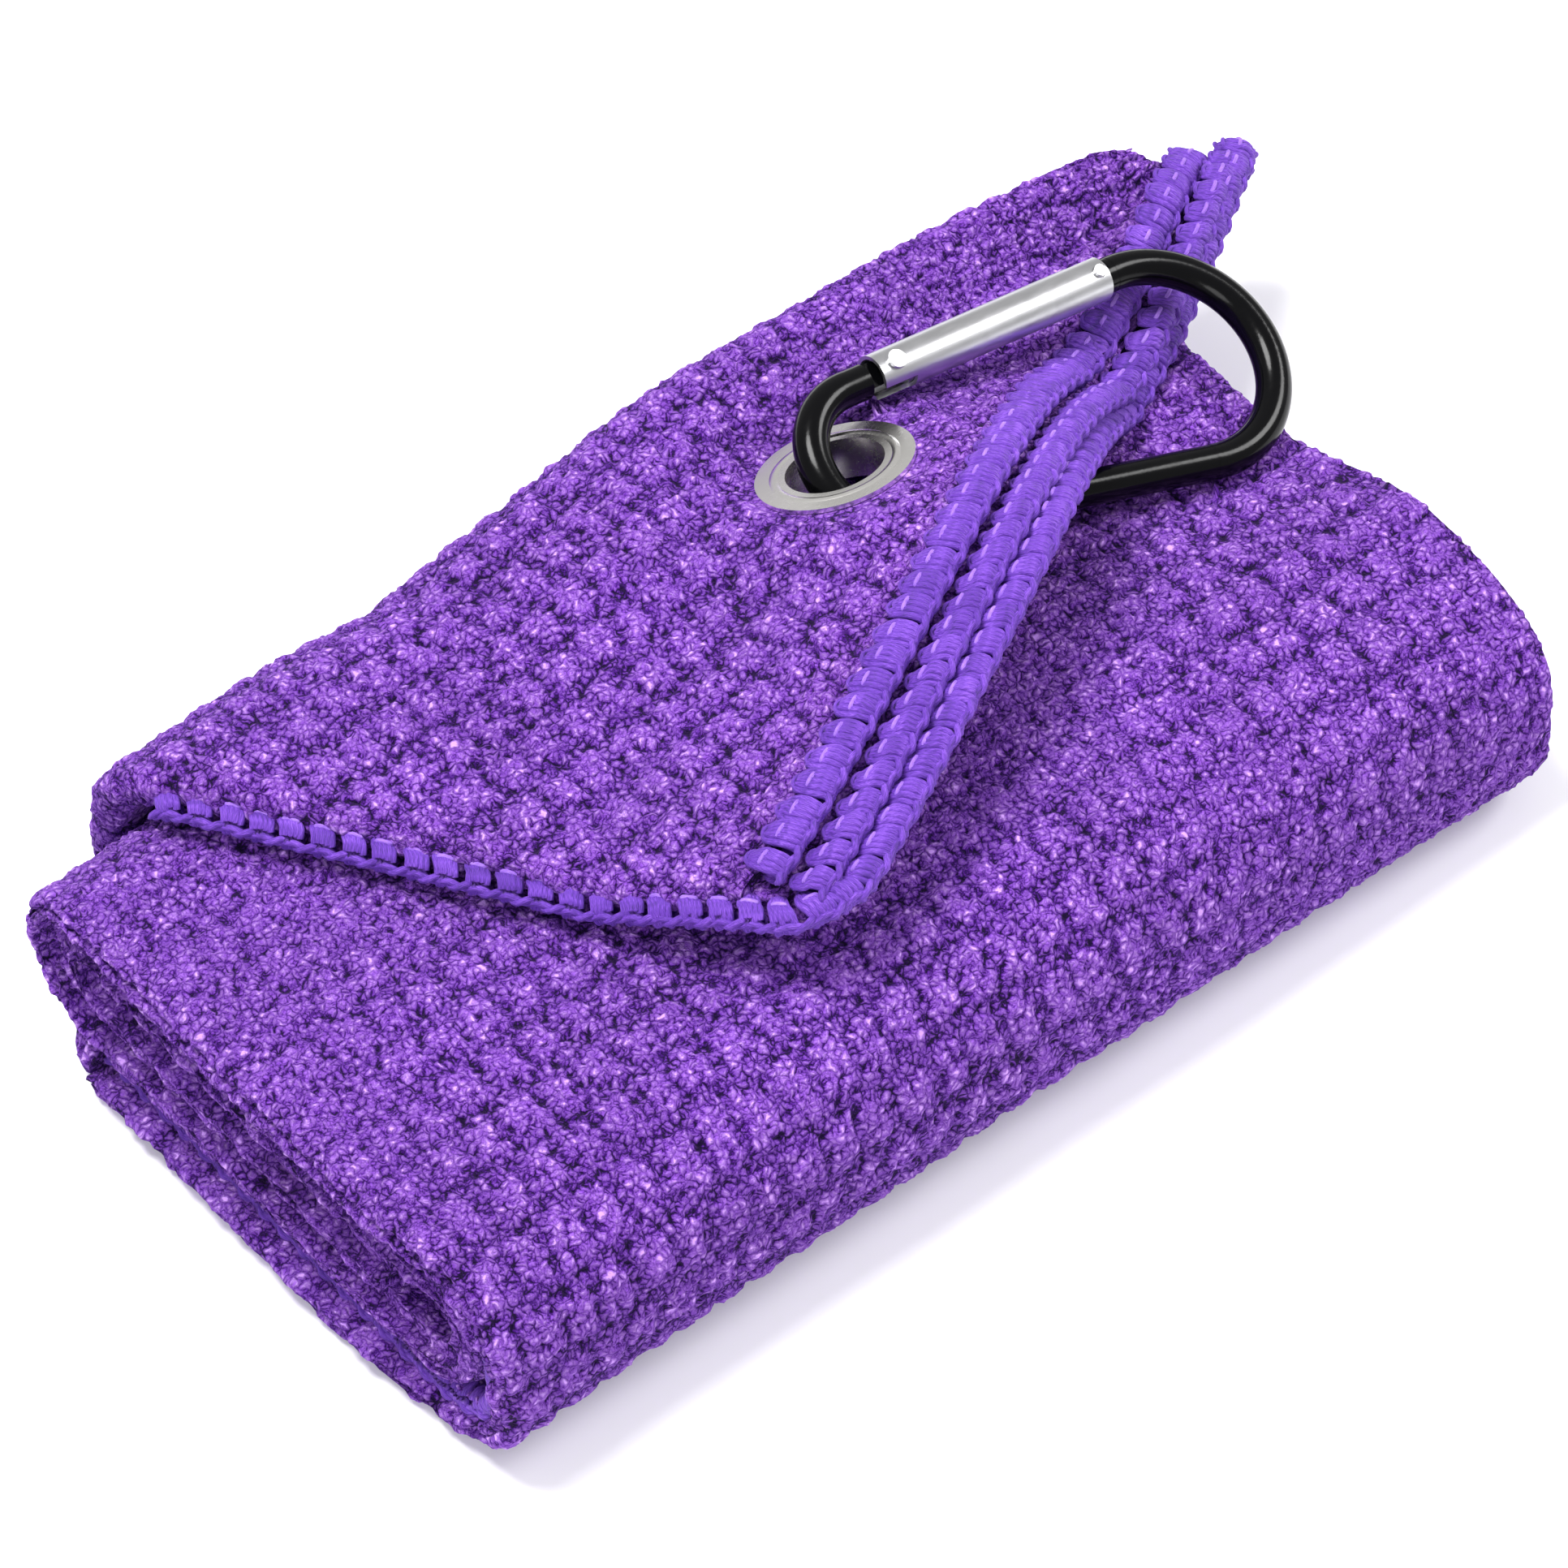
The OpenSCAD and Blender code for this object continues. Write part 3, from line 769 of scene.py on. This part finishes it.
def sheet(name, top, thick, left_depth, left_reach, along, waves, skin_weight=1.0):
    """Closed cloth sheet below a grid of top points (rows away from the roll, columns left to right).
    Its left edge is as deep and reaches as far as given; along is where its weave starts."""
    rows, n = top.shape[:2]
    ends = EDGE_POINTS
    normal = unit(np.cross(np.gradient(top, axis=0), np.gradient(top, axis=1)))
    low = top - normal * thick[..., None]
    turn = np.pi * (np.arange(1, ends + 1) / (ends + 1))[None, :, None]

    def edge(at, outward, depth, reach):
        down = -normal[:, at][:, None, :]
        a = top[:, at][:, None, :]
        return (a + outward[:, None, :] * np.sin(turn) * reach[:, None, None]
                + down * (1 - np.cos(turn)) / 2 * depth[:, None, None])

    out_right = unit(top[:, -1] - top[:, -2])
    out_left = unit(top[:, 0] - top[:, 1])
    right = edge(-1, out_right, thick[:, -1], thick[:, -1] * 0.5)
    left = edge(0, out_left, left_depth, left_reach)[:, ::-1]
    grid = np.concatenate([top, right, low[:, ::-1], left], axis=1)
    cols = grid.shape[1]
    fall = np.hypot(np.diff(top[..., 1], axis=0), np.diff(top[..., 2], axis=0))
    a_top = along + np.concatenate([np.zeros((1, n)), np.cumsum(fall, axis=0)])
    b_top = top[..., 0]
    beyond = np.arange(1, ends + 1)[None, :] * 0.3
    b = np.concatenate([b_top, b_top[:, -1:] + beyond, b_top[:, ::-1] + UNDERSIDE_FAR,
                        b_top[:, :1] - beyond[:, ::-1] * np.maximum(left_reach, 0.3)[:, None]], axis=1)
    a = np.concatenate([a_top, np.repeat(a_top[:, -1:], ends, 1), a_top[:, ::-1],
                        np.repeat(a_top[:, :1], ends, 1)], axis=1)
    ab = np.stack([a, b], -1)
    skin = np.full(cols, 0.3)
    skin[:n + ends] = 1.0
    skin[-ends:] = 1.0
    weight = np.broadcast_to(skin, (rows, cols)) * skin_weight
    weight = weight * ease(eyelet_dist(grid), FLANGE_R, FLANGE_R + 1.6)
    away = np.minimum(eyelet_dist(top)[:-1, :-1], eyelet_dist(top)[1:, 1:])
    on_top = away > HOLE_R
    on_top[0] = True
    on_top[-1] = True
    keep = np.ones((rows - 1, cols), bool)
    keep[:, :n - 1] = on_top
    keep[:, n + ends:n + ends + n - 1] = on_top[:, ::-1]
    walls = hole_walls(on_top, lambda j: n + ends + (n - 1 - j), cols)
    return cloth_piece(name, grid, ab, weight, waves, keep, walls)


def columns(step):
    """Shares of the flap's width, at an even step."""
    return np.linspace(0, 1, int(112 / step))


def build_flap():
    """The flap's top sheet with the back fold it hangs on, and the two plies below it."""
    u = columns(FINE)
    # Back fold: round the back of the roll, then over into the flap. Its left end draws in as it rises
    turn = np.radians(np.linspace(-90, 0, int(1.57 * BACK_FOLD_R / FINE)))[:, None]
    left = mix(-ROLL_L / 2, -55.0, smooth((turn / np.pi * 2 + 1) / 0.8))
    x_roll = mix(left, ROLL_L / 2, u[None])
    y_roll = np.broadcast_to(BACK_Y + TURN_GAP + BACK_FOLD_R * np.cos(turn), x_roll.shape)
    z_roll = (LOOP_Z + BACK_FOLD_R * np.sin(turn)) * height_share(x_roll)
    back = np.stack([x_roll, y_roll, z_roll], -1)
    start = back[:1] - np.array([0, 0.5, 0])
    joined = dome(u, np.full_like(u, JOIN_AT))
    ahead = dome(u, np.full_like(u, JOIN_AT + JOIN_SLOPE_STEP))
    slope = unit(ahead - joined)
    p0 = back[-1]
    span = np.linalg.norm(joined - p0, axis=1)[:, None]
    p1 = p0 + np.array([0, 0, 1.0]) * span * JOIN_PULL
    p2 = joined - slope * span * JOIN_PULL
    t = np.linspace(0, 1, int(span.mean() / FINE))[1:-1][:, None, None]
    over = ((1 - t) ** 3 * p0 + 3 * (1 - t) ** 2 * t * p1 + 3 * (1 - t) * t * t * p2 + t ** 3 * joined)
    reach = flap_reach(u).max()
    w = np.linspace(JOIN_AT, 1, int(reach * (1 - JOIN_AT) / FINE))
    uu, ww = np.meshgrid(u, w)
    lying = dome(uu, ww)
    top = np.concatenate([start, back, over, lying])
    # The sheet is as thick as the strip round the back, and thins to one ply where it lies on the others
    first = len(top) - len(lying)
    ply = np.concatenate([np.full((first, len(u)), STRIP_T), ply_at(lying) * PLY_SKIN_GROWTH])
    row = np.arange(len(top))
    past_back = row - 1 - len(back)
    whole = mix(STRIP_T, JOIN_T, smooth(past_back / len(over)))[:, None]
    step_down = 1 - smooth((row - first - 2) / 3)[:, None]
    thick = mix(ply, whole, step_down)
    settle = smooth(past_back / (len(over) + 1.0))
    left_depth = mix(STRIP_T, 3 * (PLY_T + PLY_GAP), settle)
    left_reach = mix(2.6, 2.2, settle)
    obj = sheet("flap_top_cloth", top, thick, left_depth, left_reach, 0.0, WAVE_HEIGHT)
    bend_with_flap(obj, "flap_top_ply", "back_fold")

    for k, name, node, step in ((1, "flap_middle_cloth", "flap_middle_ply", COARSE),
                                (2, "flap_bottom_cloth", "flap_bottom_ply", 0.7)):
        u = columns(step)
        w = np.linspace(JOIN_AT + 0.03, 1, int(reach * (1 - JOIN_AT) / step))
        uu, ww = np.meshgrid(u, w)
        top = ply_top(k, uu, ww)
        thick = ply_at(top) * PLY_SKIN_GROWTH
        flat = np.full(len(w), PLY_T)
        obj = sheet(name, top, thick, flat, flat * 0.5, 40.0 * k, waves=0.0, skin_weight=0.55)
        bend_with_flap(obj, node)


# ---- Overlock stitching ----
class Edge:
    """Line along a cloth edge, with the way off the edge and the way up at every point of it."""

    def __init__(self, points, outward, up):
        self.points, self.far = resample(points, 0.5)
        span = distances(points)
        out = along_line(self.far, span, outward)
        rise = along_line(self.far, span, up)
        self.way = unit(np.gradient(self.points, axis=0))
        self.out = unit(out - (out * self.way).sum(1, keepdims=True) * self.way)
        self.up = np.cross(self.way, self.out)
        self.up *= np.sign((self.up * rise).sum(1, keepdims=True))

    def __call__(self, s, o, h):
        """Points at distance s along, o off the edge and h up."""
        s = np.clip(s, 0, self.far[-1])
        points, out, up = (along_line(s, self.far, each) for each in (self.points, self.out, self.up))
        return points + out * np.asarray(o)[..., None] + up * np.asarray(h)[..., None]


def smooth_path(points, count):
    """Catmull-Rom curve through the points of each path (paths, points, 3)."""
    n = points.shape[1]
    before = 2 * points[:, :1] - points[:, 1:2]
    after = 2 * points[:, -1:] - points[:, -2:-1]
    padded = np.concatenate([before, points, after], axis=1)
    t = np.linspace(0, n - 1 - 1e-6, count)
    i = t.astype(int)
    f = (t - i)[None, :, None]
    p0, p1, p2, p3 = (padded[:, i + k] for k in range(4))
    return 0.5 * (2 * p1 + (p2 - p0) * f + (2 * p0 - 5 * p1 + 4 * p2 - p3) * f ** 2
                  + (3 * p1 - p0 - 3 * p2 + p3) * f ** 3)


def tubes(paths, radius, sides=7):
    """Verts, faces, caps and yarn coordinates of round yarns along paths (yarns, points, 3)."""
    yarns, n = paths.shape[:2]
    way = unit(np.gradient(paths, axis=1))
    ref = np.where(np.abs(way[..., 2:3]) < 0.85, np.array([0, 0, 1.0]), np.array([1.0, 0, 0]))
    a = unit(np.cross(ref, way))
    b = np.cross(way, a)
    turn = np.arange(sides) / sides * 2 * np.pi
    taper = np.ones(n)
    taper[[0, -1]] = 0.45
    r = np.broadcast_to(radius, (yarns,))[:, None] * taper
    ring = (np.cos(turn)[:, None] * a[:, :, None] + np.sin(turn)[:, None] * b[:, :, None])
    verts = (paths[:, :, None] + ring * r[..., None, None]).reshape(-1, 3)
    base = (np.arange(yarns)[:, None, None] * n + np.arange(n - 1)[None, :, None]) * sides
    j = np.arange(sides)[None, None, :]
    k = (j + 1) % sides
    faces = np.stack([base + j, base + k, base + sides + k, base + sides + j], -1).reshape(-1, 4)
    starts = np.arange(yarns) * n * sides
    caps = [list(range(s + sides - 1, s - 1, -1)) for s in starts]
    caps += [list(range(s + (n - 1) * sides, s + n * sides)) for s in starts]
    steps = np.linalg.norm(np.diff(paths, axis=1), axis=2)
    far = np.concatenate([np.zeros((yarns, 1)), np.cumsum(steps, axis=1)], axis=1)
    ab = np.stack(np.broadcast_arrays(far[:, :, None] + np.arange(yarns)[:, None, None] * 3.7,
                                      (turn * 0.4)[None, None, :]), -1).reshape(-1, 2)
    return verts, faces, caps, ab


def yarn_object(name, groups):
    """One object of many yarns: groups of (paths, radius, material index)."""
    verts, faces, caps, coords, slots_f, slots_c = [], [], [], [], [], []
    base = 0
    for paths, radius, index in groups:
        v, f, c, ab = tubes(paths, radius)
        verts.append(v)
        faces.append(f + base)
        caps += [[i + base for i in ring] for ring in c]
        slots_f += [index] * len(f)
        slots_c += [index] * len(c)
        coords.append(ab)
        base += len(v)
    pts = np.concatenate(verts)
    pts[:, 2] = np.maximum(pts[:, 2], FLOOR_GAP)
    pts = press_clear(pts, YARN_GAP)
    pts = clear_gate(pts)
    obj = make_mesh(name, pts, np.concatenate(faces), caps)
    obj.data.materials.append(YARN)
    obj.data.materials.append(YARN_LIGHT)
    obj.data.polygons.foreach_set("material_index", np.array(slots_f + slots_c, np.int32))
    set_uv(obj, np.concatenate(coords))
    return obj


def overlock(name, edge, inner, slant, puff, seed, loops=True, open_until=0.0):
    """Overlock stitching round a cloth edge: wrap bundles, needle thread, inner loops and an outer braid.
    inner is where the stitches start, off the edge; slant is their lean along it, and puff their height."""
    rng = np.random.default_rng(seed)
    length = edge.far[-1]
    count = max(3, int(length / STITCH_PITCH))
    pitch = length / count
    at = (np.arange(count) + 0.5) * pitch
    at = at + rng.uniform(-0.18, 0.18, count)
    groups = []
    # Each stitch is a bundle of yarns that starts close together and spreads over the edge
    off = np.array([inner, inner + 0.45, inner + 1.4, -0.1, 0.75, 1.2, 0.9, 0.0, -1.1])
    rise = np.array([0.35, 0.95, 1.35, 1.42, 1.05, 0.15, -0.75, -1.15, -1.1]) * puff
    spread = np.array([0.45, 0.8, 1.05, 1.05, 1.0, 0.9, 0.85, 0.8, 0.7])
    lean = np.array([-0.5, -0.35, -0.1, 0.2, 0.42, 0.5, 0.45, 0.3, 0.1]) * slant
    # The first stretch is looser, with pits between its arches
    tight = mix(0.72, 1.0, smooth((at - open_until) / 6 + 0.01))[:, None]
    for strand in WRAP_STRANDS:
        s = at[:, None] + lean + strand * 0.6 * spread * tight
        s = s + rng.uniform(-0.07, 0.07, s.shape)
        o = off + rng.uniform(-0.06, 0.06, s.shape)
        h = rise - 0.085 * strand ** 2 * puff + rng.uniform(-0.05, 0.05, s.shape)
        radius = WRAP_R + rng.uniform(-0.03, 0.03, count)
        groups.append((smooth_path(edge(s, o, h), 19), radius, DARK_YARN))
    # Needle thread: a light dash across each bundle
    dash = np.array([-0.95, -0.5, 0.0, 0.5, 0.95])
    s = at[:, None] + dash
    o = np.full(s.shape, (inner + 0.6) * 0.5)
    h = (1.62 + 0.12 * np.cos(dash / 0.95 * np.pi / 2) - 0.25 * np.abs(dash) ** 3) * puff
    h = np.broadcast_to(h, s.shape)
    groups.append((smooth_path(edge(s, o, h), 9), NEEDLE_R, LIGHT_YARN))
    if loops:
        # Inner loops: small arches that reach into the cloth
        arch_s = np.array([-0.75, -0.8, -0.45, 0.0, 0.45, 0.8, 0.75])
        arch_o = np.array([0.5, 0.1, -0.25, -0.36, -0.25, 0.1, 0.5])
        s = at[:, None] + arch_s - slant * 0.4
        o = np.broadcast_to(inner + arch_o, s.shape)
        h = np.broadcast_to((0.5 + 0.2 * np.cos(arch_s)) * puff, s.shape)
        groups.append((smooth_path(edge(s, o, h), 15), INNER_LOOP_R, DARK_YARN))
    # Outer braid: two yarns that wind round each other
    far = np.arange(0, length, 0.4)
    for phase in (0.0, np.pi):
        turn = far / pitch * 2 * np.pi + phase
        scallop = 0.22 * np.cos(far / pitch * 2 * np.pi)
        line = edge(far, 1.3 + scallop + 0.18 * np.cos(turn), 0.25 + 0.3 * np.sin(turn))
        groups.append((line[None], BRAID_R, DARK_YARN))
    return yarn_object(name, groups)


def on_roll(p):
    """Lifts a line of stitching that would sink into the roll."""
    under = p.copy()
    under[..., 1] -= 2 * HEM_R
    p = p.copy()
    p[..., 2] = np.maximum(p[..., 2], roof(under) + HEM_R + 2 * SLIT)
    return p


def bead(k, u):
    """Centre of the stitching along the end edge of ply k, which rests on the ply below."""
    p = flap_top(u, 1 + (k * PLY_STEP + HEM_R + 2 * SLIT) / flap_reach(u))
    p[..., 2] += SLOPE_SPREAD * (HEM_R + 1.7 * SLIT - (k + 1) * (ply_at(p) + PLY_GAP))
    return on_roll(p)


def turned_under(line, out, drop):
    """Carries a hem on past the flap's back corner, round it and back below the cloth."""
    way = unit(line[-1] - line[-4])
    t = np.radians(np.linspace(90, -90, 14))[1:, None]
    centre = line[-1] - np.array([0, 0, drop])
    up = np.array([0, 0, 1.0])
    ring = centre + drop * (way * np.cos(t) * 0.8 + up * np.sin(t))
    tail = ring[-1] + np.arange(1, 6)[:, None] * (0.35 * up - way - 0.7 * out[-1])
    ring_up = way * np.cos(t) + up * np.sin(t)
    ups = np.concatenate([np.broadcast_to(up, line.shape), ring_up, np.broadcast_to(-up, tail.shape)])
    more = len(ring) + len(tail)
    return np.concatenate([line, ring, tail]), np.concatenate([out, np.repeat(out[-1:], more, 0)]), ups


def pin_dip(line):
    """Lets a hem sag where the gate's pin would meet it when the gate opens."""
    start, way, length, _ = round_bar("latch_pin")
    turn, shift = turned(GATE_PIVOT, GATE_AXIS, GATE_OPEN)
    pin = turn @ (start + way * length / 2) + shift
    away = np.linalg.norm((line - pin)[:, :2], axis=1)
    line = line.copy()
    line[:, 2] -= 1.1 * np.exp(-(away / 5.0) ** 2)
    return line


def build_hems():
    """Stitching along the three plies' ends, and down the bottom ply's side."""
    u = np.linspace(0, 1, 120)
    out = unit(end_line(u) - back_line(u))
    for k, name, node, inner, slant, puff in (
            (0, "hem_top_stitching", "hem_top", -2.6, 0.5, 0.85),
            (1, "hem_middle_stitching", "hem_middle", -1.9, 1.7, 0.9)):
        line = pin_dip(bead(k, u) + 0.5 * k * out)
        edge = Edge(*turned_under(line, out, 3.4 - 1.1 * k))
        obj = overlock(name, edge, inner, slant, puff, seed=k + 1)
        bend_with_flap(obj, node)
    # The bottom ply's stitching runs along its side, round the corner and on along its end
    w = np.linspace(0.14, 0.95, 60)
    off_side = np.array([-2.0, -1.0, 0.5])
    side = on_roll(ply_top(2, np.zeros_like(w), w) + off_side)
    side_out = np.broadcast_to(unit(np.array([-1, -0.5, -0.15])), side.shape)
    hidden = smooth((u - 0.35) / 0.35)[:, None]
    end = (bead(2, u) - hidden * (2.3 * out + np.array([0, 0, 1.3])))[4:]
    corner = side[-1] + (side[-1] - side[-6]) / np.linalg.norm(side[-1] - side[-6]) * 3.4
    t = np.linspace(0, 1, 12)[1:-1, None]
    turn = (1 - t) ** 2 * side[-1] + 2 * t * (1 - t) * corner + t * t * end[0]
    turn_out = unit(mix(side_out[-1], out[4], t))
    line = np.concatenate([side, turn, end])
    outward = np.concatenate([side_out, turn_out, out[4:]])
    line, outward, ups = turned_under(line, outward, 1.2)
    side_length = np.linalg.norm(np.diff(side, axis=0), axis=1).sum()
    obj = overlock("hem_bottom_stitching", Edge(line, outward, ups), -2.1, 1.2, 0.9, seed=3,
                   open_until=side_length)
    bend_with_flap(obj, "hem_bottom", "flap_side_hem")


def build_roll_hems(outer):
    """Stitching along both ends of the roll's outer turn."""
    path, _ = resample(outer, 1.0)
    way = unit(np.gradient(path, axis=0))
    side = np.stack([-way[:, 1], way[:, 0]], -1)
    p = path - side * STRIP_T / 4
    for name, node, x, seed in (("roll_left_stitching", "roll_left_hem", -ROLL_L / 2 + 0.9, 6),
                                ("roll_right_stitching", "roll_right_hem", ROLL_L / 2 + HEM_R + SLIT, 7)):
        line = np.stack([np.full(len(p), x), p[:, 0], p[:, 1] * height_share(np.full(len(p), x))], -1)
        out = np.zeros_like(line)
        out[:, 0] = np.sign(x)
        ups = np.stack([np.zeros(len(p)), side[:, 0], side[:, 1]], -1)
        obj = overlock(name, Edge(line, out, ups), -1.5, 0.8, 0.9, seed, loops=False)
        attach(obj, "roll")
        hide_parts(node)


# ---- Metal parts ----
def lathe(name, profile, place, tilt, sides=120):
    """Closed ring from a profile of (radius, height) points, turned about a tilted axis."""
    turn = np.arange(sides) / sides * 2 * np.pi
    r, z = np.array(profile).T
    x = r[:, None] * np.cos(turn)
    y = r[:, None] * np.sin(turn)
    z = np.broadcast_to(z[:, None], x.shape)
    c, s = math.cos(tilt), math.sin(tilt)
    pts = np.stack([x, y * c + z * s, -y * s + z * c], -1) + place
    count = len(profile)
    i, j = np.meshgrid(np.arange(count), np.arange(sides), indexing="ij")
    a, b = i.ravel() * sides + j.ravel(), i.ravel() * sides + (j.ravel() + 1) % sides
    below = (a + sides) % (count * sides)
    faces = np.stack([a, b, (b + sides) % (count * sides), below], -1)
    return make_mesh(name, pts.reshape(-1, 3), faces)


def dress(obj, look):
    """Gives an object one material in place of those it has."""
    obj.data.materials.clear()
    obj.data.materials.append(look.material)


def build_funnel(look):
    """The eyelet's mouth: its flange curves down into the bore."""
    t = np.radians(np.linspace(0, 90, 12))
    mouth = [(6.55 - 1.2 * math.sin(a), 0.62 - 1.2 * (1 - math.cos(a)) + 0.1 * math.cos(a)) for a in t]
    profile = [(7.2, 0.5), (6.9, 0.62)] + mouth + [(5.35, -2.6), (5.5, -2.6), (5.5, 0.3), (7.2, 0.3)]
    obj = lathe("eyelet_mouth", profile, EYELET_AT, EYELET_TILT)
    dress(obj, look)
    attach(obj, "flap")


def build_spring(look):
    """The return spring inside the gate's tube, as its own copy of the CAD mesh carried with the gate."""
    obj = add_object("spring_coil", nodes["gate_spring"].data.copy())
    dress(obj, look)
    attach(obj, "gate")
    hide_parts("gate_spring")
    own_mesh(obj)


def finish_metal():
    """The clip's and the eyelet's looks, with the eyelet's rolled mouth and the gate's spring."""
    nickel = metal_material("nickel_steel", (0.92, 0.90, 0.87), 1.0, 0.26, 0.04, 0.12, (0.6, 0.58, 0.55))
    black = metal_material("black_aluminium", (0.0015, 0.0015, 0.002), 0.0, 0.17, 0.05, 0.04,
                           (0.05, 0.05, 0.05))
    black.set(Specular_IOR_Level=0.16)
    bright = metal_material("bright_aluminium", (0.60, 0.60, 0.62), 1.0, 0.34, 0.08, 0.3, (0.4, 0.4, 0.42))
    rivet = metal_material("rivet_steel", (0.74, 0.74, 0.75), 1.0, 0.2, 0.06)
    spring = metal_material("spring_steel", (0.42, 0.42, 0.43), 1.0, 0.25, 0.08)
    build_funnel(nickel)
    build_spring(spring)
    plan = {"eyelet": nickel, "eyelet_washer": nickel, "clip_frame": black, "gate_tube": bright,
            "gate_rivet": rivet, "latch_pin": rivet, "gate_plunger": rivet}
    for name, look in plan.items():
        dress(nodes[name], look)


# ---- Set ----
FLOOR_HALF = 3.0
LAMPS = (("key", (-0.15, 0.25, 0.85), 0.4, 10.0),
         ("side", (0.65, -0.2, 0.5), 0.3, 3.5),
         ("front", (-0.5, -0.5, 0.45), 0.4, 2.0))
LAMP_TARGET = Vector((0, 0, 0.01))
CAMERA_AZIMUTH = math.radians(-40)
CAMERA_ELEVATION = math.radians(50)
CAMERA_DISTANCE = 0.95
CAMERA_TARGET = Vector((2.0, 2.25, 13.5)) * MM
SENSOR_WIDTH = 36
VIEW_WIDTH = 0.1597


def build_stage():
    """White floor and surroundings, with three soft lamps given by name, place, size and power."""
    floor_mesh = bpy.data.meshes.new("floor")
    s = FLOOR_HALF
    floor_mesh.from_pydata([(-s, -s, 0), (s, -s, 0), (s, s, 0), (-s, s, 0)], [], [[0, 1, 2, 3]])
    floor = add_object("floor", floor_mesh)
    look = Nodes("pale_floor")
    look.set(Base_Color=(0.93, 0.93, 0.945, 1), Roughness=0.9, Emission_Color=(0.97, 0.97, 1.0, 1),
             Emission_Strength=0.08)
    dress(floor, look)

    bpy.context.scene.view_settings.view_transform = "Standard"
    world = bpy.data.worlds.new("studio")
    bpy.context.scene.world = world
    world.use_nodes = True
    background = world.node_tree.nodes["Background"]
    background.inputs["Color"].default_value = (1, 1, 1, 1)
    background.inputs["Strength"].default_value = 0.5
    for name, place, size, power in LAMPS:
        light = bpy.data.lights.new(name, "AREA")
        light.shape = "DISK"
        light.size = size
        light.energy = power
        lamp = add_object(name, light)
        lamp.location = place
        lamp.rotation_euler = (LAMP_TARGET - Vector(place)).to_track_quat("-Z", "Y").to_euler()


def build_camera():
    level = math.cos(CAMERA_ELEVATION)
    back = Vector((math.sin(CAMERA_AZIMUTH) * level, -math.cos(CAMERA_AZIMUTH) * level,
                   math.sin(CAMERA_ELEVATION)))
    data = bpy.data.cameras.new("camera")
    data.sensor_width = SENSOR_WIDTH
    data.lens = SENSOR_WIDTH * CAMERA_DISTANCE / VIEW_WIDTH
    data.clip_end = 10
    camera = add_object("camera", data)
    camera.location = CAMERA_TARGET + back * CAMERA_DISTANCE
    camera.rotation_euler = (-back).to_track_quat("-Z", "Y").to_euler()
    bpy.context.scene.camera = camera


outer_path = build_roll()
build_flap()
build_hems()
build_roll_hems(outer_path)
finish_metal()
build_stage()
build_camera()
